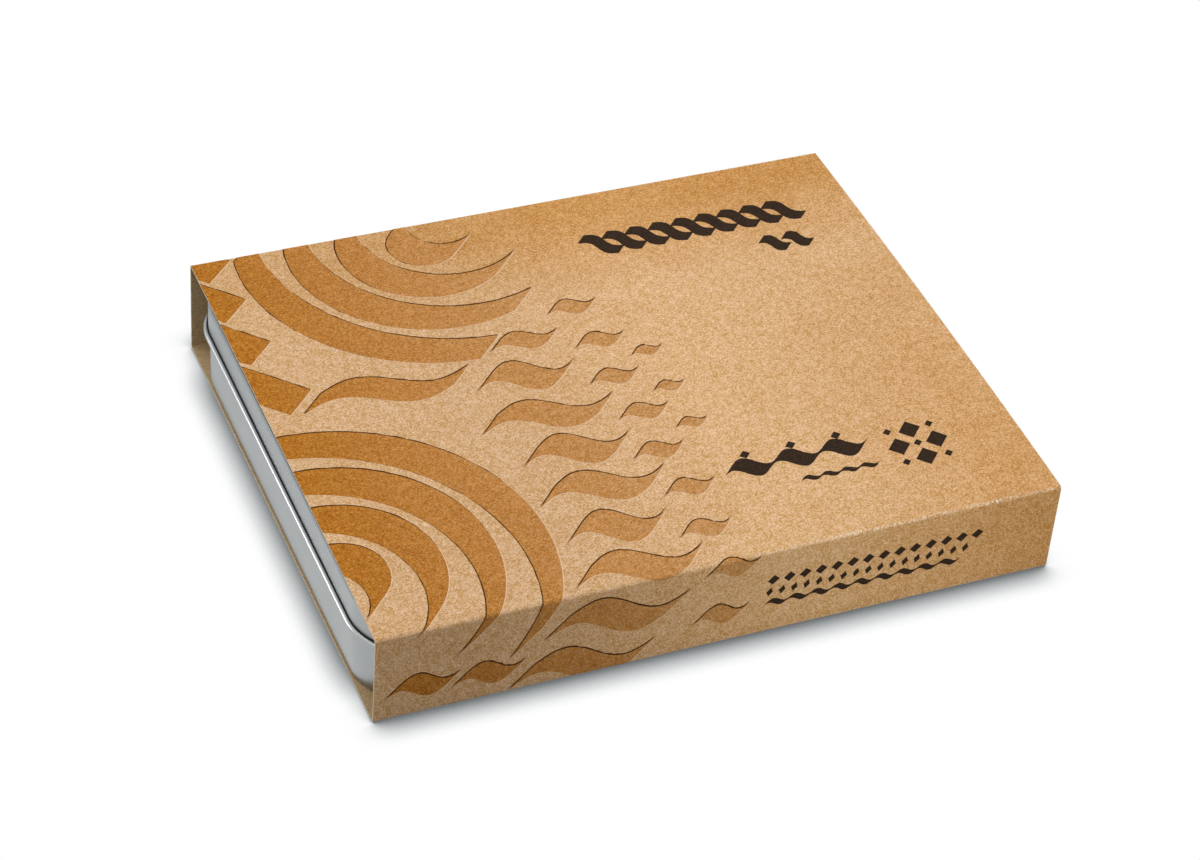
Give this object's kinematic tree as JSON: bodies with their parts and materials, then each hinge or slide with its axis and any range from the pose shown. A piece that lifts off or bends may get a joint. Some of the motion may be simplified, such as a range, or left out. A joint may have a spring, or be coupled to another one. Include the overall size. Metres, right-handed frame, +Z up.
{
  "type": "calligraphy set box",
  "caption": "Flat hinged tin with rounded corners, holding a pen, spare nib units and ink in die-cut foam, slid into an open-ended printed kraft card sleeve.",
  "frame": {"origin": "centre of the overall box at the sleeve's underside, which stands on Z = 0", "axes": "+X along the sleeve between its two open ends, +Y towards the hinged back, +Z up"},
  "size_m": [0.1756, 0.1422, 0.0268],
  "materials": {
    "kraft_card": "uncoated kraft card",
    "tinplate": "satin tinplate",
    "hinge_wire": "drawn wire",
    "black_foam": "die-cut foam",
    "leaflet_paper": "uncoated paper",
    "pen_plastic": "polished",
    "feed_plastic": "moulded",
    "nib_steel": "polished steel",
    "finial_metal": "polished",
    "ink_plastic": "translucent with ink"
  },
  "bodies": {
    "sleeve": {"sleeve": "kraft_card"},
    "tin": {"tin_base": "tinplate", "hinge_pin_left": "hinge_wire", "hinge_pin_right": "hinge_wire", "foam_pad": "black_foam", "foam_insert": "black_foam", "leaflet": "leaflet_paper", "spare_grip_1": "pen_plastic", "spare_feed_1": "feed_plastic", "spare_nib_1": "nib_steel", "spare_grip_2": "pen_plastic", "spare_feed_2": "feed_plastic", "spare_nib_2": "nib_steel", "spare_grip_3": "pen_plastic", "spare_feed_3": "feed_plastic", "spare_nib_3": "nib_steel", "ink_cartridge_1": "ink_plastic", "ink_cartridge_2": "ink_plastic", "ink_cartridge_3": "ink_plastic", "ink_cartridge_4": "ink_plastic", "ink_cartridge_5": "ink_plastic", "ink_cartridge_6": "ink_plastic"},
    "lid": {"tin_lid": "tinplate"},
    "pen": {"pen_barrel": "pen_plastic", "pen_grip": "pen_plastic", "pen_feed": "feed_plastic", "pen_nib": "nib_steel", "pen_cartridge": "ink_plastic"},
    "cap": {"pen_cap": "pen_plastic", "cap_finial": "finial_metal"}
  },
  "joints": [
    {"name": "tin_slide", "type": "slide", "parent": "sleeve", "child": "tin", "axis": [1, 0, 0], "range_m": [-0.18, 0.18]},
    {"name": "lid_hinge", "type": "hinge", "parent": "tin", "child": "lid", "pos_m": [0, 0.06932, 0.01622], "axis": [-1, 0, 0], "range_deg": [0, 0.5]},
    {"name": "pen_turn", "type": "hinge", "parent": "tin", "child": "pen", "pos_m": [0, -0.03425, 0.01147], "axis": [-1, 0, 0], "range_deg": [0, 450]},
    {"name": "cap_travel", "type": "slide", "parent": "tin", "child": "cap", "axis": [1, 0, 0], "range_m": [0, 0.0025]}
  ],
  "couplings": [
    {"joint": "cap_travel", "follows": "pen_turn", "m_per_rad": 0.00031831}
  ]
}
